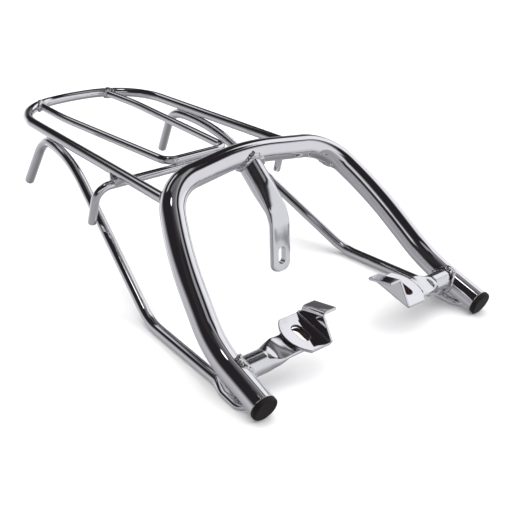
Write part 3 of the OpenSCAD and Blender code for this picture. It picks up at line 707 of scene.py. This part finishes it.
# Kind of bead, how far it swells in millimetres, and the noise level that moves nothing
swells = [("cross_weld", 0.4, 0.3), ("loop_weld", 1.6, 0.1), ("inner_weld", 1.6, 0.1),
          ("tab_weld", 2.6, 0.25), ("weld", 0.9, 0.3)]
beads = [n for n in nodes if "weld" in n]
for name in beads:
    bead = merged_copy(name, name + "_skin")
    web = "cross_weld" in name
    remesh = bead.modifiers.new("fine skin", "REMESH")
    remesh.mode, remesh.voxel_size, remesh.use_smooth_shade = "VOXEL", 0.38 * MM, True
    relax = bead.modifiers.new("relaxed", "SMOOTH")
    relax.factor, relax.iterations = 0.5, 10 if web else 4
    swell = bead.modifiers.new("ripples", "DISPLACE")
    swell.texture, swell.texture_coords = ripple, "LOCAL"
    swell_mm, swell.mid_level = next(row[1:] for row in swells if row[0] in name)
    swell.strength = swell_mm * MM
    # Beads that join the bracket plates take the darkened chrome: painted shade, not a different metal
    finish = rod_chrome if web else painted_shade_weld if "plate_weld" in name else weld_chrome
    finish.put_on(bead)
print("beads:", len(beads))

# %% [markdown]
# ## The studio
# Chrome shows its surroundings, so they are worked out first. The room is kept
# to a few things a studio has: a pale ground, a dark ceiling, which draws the
# near-black bands along the tubes, large white cards on the rack's right, a
# board behind it, two strip lamps, a small lamp overhead and a grey panel high
# on the right. A card is a patch of sky between two compass headings and two
# heights, where height is the sine of the angle above the horizon.

# %% Surroundings
def grey(v):
    """A grey of brightness v: brights a little cool, darks a little warm."""
    cool = min(1.0, v * 3)
    return (v * (1.06 - 0.08 * cool), v * (0.93 + 0.05 * cool), v * (1.02 - 0.005 * cool))


world = bpy.data.worlds.new("studio")
scene.world = world
world.use_nodes = True
world.node_tree.nodes.clear()
sky = Nodes(world.node_tree)
looking = sky.node("ShaderNodeTexCoord", {}, {}, "Generated")
split = sky.tree.nodes.new("ShaderNodeSeparateXYZ")
sky.tree.links.new(looking.socket, split.inputs[0])
x, y, z = (Wire(sky, split.outputs[axis]) for axis in "XYZ")
heading = x.math("ARCTAN2", y) * (180 / math.pi)


def step_up(wire, low, high):
    """0 below low, 1 above high, and a smooth step between."""
    return sky.node("ShaderNodeMapRange", {"interpolation_type": "SMOOTHSTEP"},
                    {"Value": wire, "From Min": low, "From Max": high}, "Result")


def blend(factor, a, b):
    """Colour a where the factor is 0 and colour b where it is 1."""
    return sky.node("ShaderNodeMix", {"data_type": "RGBA"}, {0: factor, 6: a, 7: b}, 2)


# The bare room: ground, pale horizon, dark ceiling
room = [(-1.0, 0.2), (-0.5, 0.5), (-0.1, 0.57), (0.05, 0.42), (0.15, 0.22), (0.27, 0.06), (0.36, 0.02)]
around = sky.ramp((z + 1.0) * 0.5, [((h + 1) / 2, grey(v)) for h, v in room])

# Each card: from heading, to heading, heights of its soft lower edge and soft upper edge, brightness
OPEN_TOP = (2.0, 3.0)
cards = {
    "shade on the left": (-180, -62, (-0.8, -0.5), (0.0, 0.12), 0.36),
    "dark screen on the left": (-140, -97, (-0.1, 0.1), OPEN_TOP, 0.03),
    "strip lamp on the left": (-140, -117, (0.24, 0.42), (0.42, 0.62), 0.8),
    "board behind": (-15, 15, (-0.65, -0.35), (-0.2, 0.33), 0.95),
    "strip lamp behind": (-15, 15, (0.5, 0.62), (0.66, 0.72), 0.68),
    "gap beside the cards": (42, 60, (-0.32, -0.15), (0.28, 0.4), 0.18),
    "card on the right": (60, 180, (-0.6, -0.15), (0.62, 0.74), 0.79),
    "end of that card": (-180, -140, (0.0, 0.45), (0.5, 0.64), 0.72),
    "near card": (60, 104, (-0.45, -0.1), (0.765, 0.8), 0.95),
    "pale ceiling ahead": (-15, 155, (0.87, 0.92), OPEN_TOP, 0.16),
    "panel high on the right": (60, 180, (0.835, 0.875), (0.92, 0.945), 0.33),
}
side_edge = 3.0
for start, stop, low, high, bright in cards.values():
    inside = step_up(z, *low) * (1.0 - step_up(z, *high))
    if start > -180:
        inside = inside * step_up(heading, start - side_edge, start + side_edge)
    if stop < 180:
        inside = inside * (1.0 - step_up(heading, stop - side_edge, stop + side_edge))
    around = blend(inside, around, grey(bright) + (1.0,))
# Straight up every card meets, so one tone takes over there
straight_up = blend(step_up(x, -0.10, 0.10), (0.044, 0.039, 0.043, 1.0), (0.135, 0.13, 0.135, 1.0))
around = blend(step_up(z, 0.962, 0.976), around, straight_up)
# The lamp is where the cosine of the angle to its direction is nearly 1
lamp_heading, lamp_height = math.radians(-60), math.radians(82)
lamp_way = np.array([math.sin(lamp_heading) * math.cos(lamp_height),
                     math.cos(lamp_heading) * math.cos(lamp_height), math.sin(lamp_height)])
facing = x * lamp_way[0] + y * lamp_way[1] + z * lamp_way[2]
lamp_glow = step_up(facing, 0.9966, 0.9986)
around = sky.node("ShaderNodeMix", {"data_type": "RGBA", "blend_type": "ADD"},
                  {0: lamp_glow, 6: around, 7: (3.2, 3.1, 3.05, 1.0)}, 2)
background = sky.node("ShaderNodeBackground", {}, {"Color": around}, "Background")
output = sky.tree.nodes.new("ShaderNodeOutputWorld")
sky.tree.links.new(background.socket, output.inputs["Surface"])
scene.view_settings.view_transform = "Standard"
print("cards of the room:", ", ".join(cards))

# %% [markdown]
# ## Floor, backdrop and soft light
# The rack stands on plain white. Chrome would mirror a white floor as a broad
# pale band, which the photograph doesn't show, so the floor is left out of the
# reflections and the room above gives the ground's tones. A very wide light
# straight above draws the soft shadows. A low view looks past the floor's edge,
# so a pale wall stands all round it, and only the camera sees it.

# %% Floor, backdrop and light
floor_finish = Finish("white floor", Roughness=0.9, Base_Color=(0.94, 0.94, 0.94, 1.0))
floor_size = 4000.0
floor = make_mesh("floor", [[-floor_size, -floor_size, FLOOR_Z], [floor_size, -floor_size, FLOOR_Z],
                            [floor_size, floor_size, FLOOR_Z], [-floor_size, floor_size, FLOOR_Z]],
                  [[0, 1, 2, 3]], smooth=False)
floor_finish.put_on(floor)
floor.visible_glossy = False

wall_sides, wall_radius, wall_top = 96, floor_size * 0.98, 9000.0
wall_turn = np.linspace(0, 2 * math.pi, wall_sides, endpoint=False)
wall_ring = np.stack([np.cos(wall_turn), np.sin(wall_turn)], 1) * wall_radius
wall = make_mesh("backdrop", [[a, b, h] for h in (FLOOR_Z, wall_top) for a, b in wall_ring],
                 grid_faces(2, wall_sides))
wall_finish = Finish("pale wall", Roughness=1.0, Base_Color=(0.0, 0.0, 0.0, 1.0),
                     Emission_Color=(1.0, 1.0, 1.0, 1.0), Emission_Strength=1.0)
wall_finish.put_on(wall)
wall.visible_glossy = wall.visible_diffuse = wall.visible_shadow = wall.visible_transmission = False


def soft_sky(name, spread, strength):
    """A very wide soft light straight above, the same everywhere on the floor, unseen in the
    chrome: spread is the angle that it covers."""
    data = bpy.data.lights.new(name, "SUN")
    data.angle, data.energy = math.radians(spread), strength
    lamp = bpy.data.objects.new(name, data)
    lamp.visible_glossy = False
    scene.collection.objects.link(lamp)


soft_sky("overhead soft light", 100, 3.9)
print("floor: %.0f m across, backdrop %.1f m high" % (2 * floor_size * MM, wall_top * MM))

# %% [markdown]
# ## The camera
# The camera stands to the left and in front, at a little over half a metre, and
# looks down along the rack. Its place and lens were solved from the outlines of
# the tubes in the photograph.

# %% Camera
turned, tilt, roll = math.radians(41.50), math.radians(-26.53), math.radians(1.90)
ahead = np.array([math.sin(turned) * math.cos(tilt), math.cos(turned) * math.cos(tilt), math.sin(tilt)])
level = np.array([math.cos(turned), -math.sin(turned), 0.0])
up = np.cross(level, ahead)
right = level * math.cos(roll) + up * math.sin(roll)
above = -level * math.sin(roll) + up * math.cos(roll)
eye = (np.array([-508.54, -386.60, 417.75]) - np.array([0.0, 153.03, 49.8])) * MM
lens = bpy.data.cameras.new("camera")
lens.sensor_width, lens.lens = 36.0, 913.29 / 513 * 36.0
lens.clip_start, lens.clip_end = 0.01, 50.0
camera = bpy.data.objects.new("camera", lens)
camera.matrix_world = Matrix([[right[k], above[k], -ahead[k], eye[k]] for k in range(3)] + [[0, 0, 0, 1]])
scene.collection.objects.link(camera)
scene.camera = camera
print("lens: %.1f mm, %.2f m from the slot" % (lens.lens, np.linalg.norm(eye)))
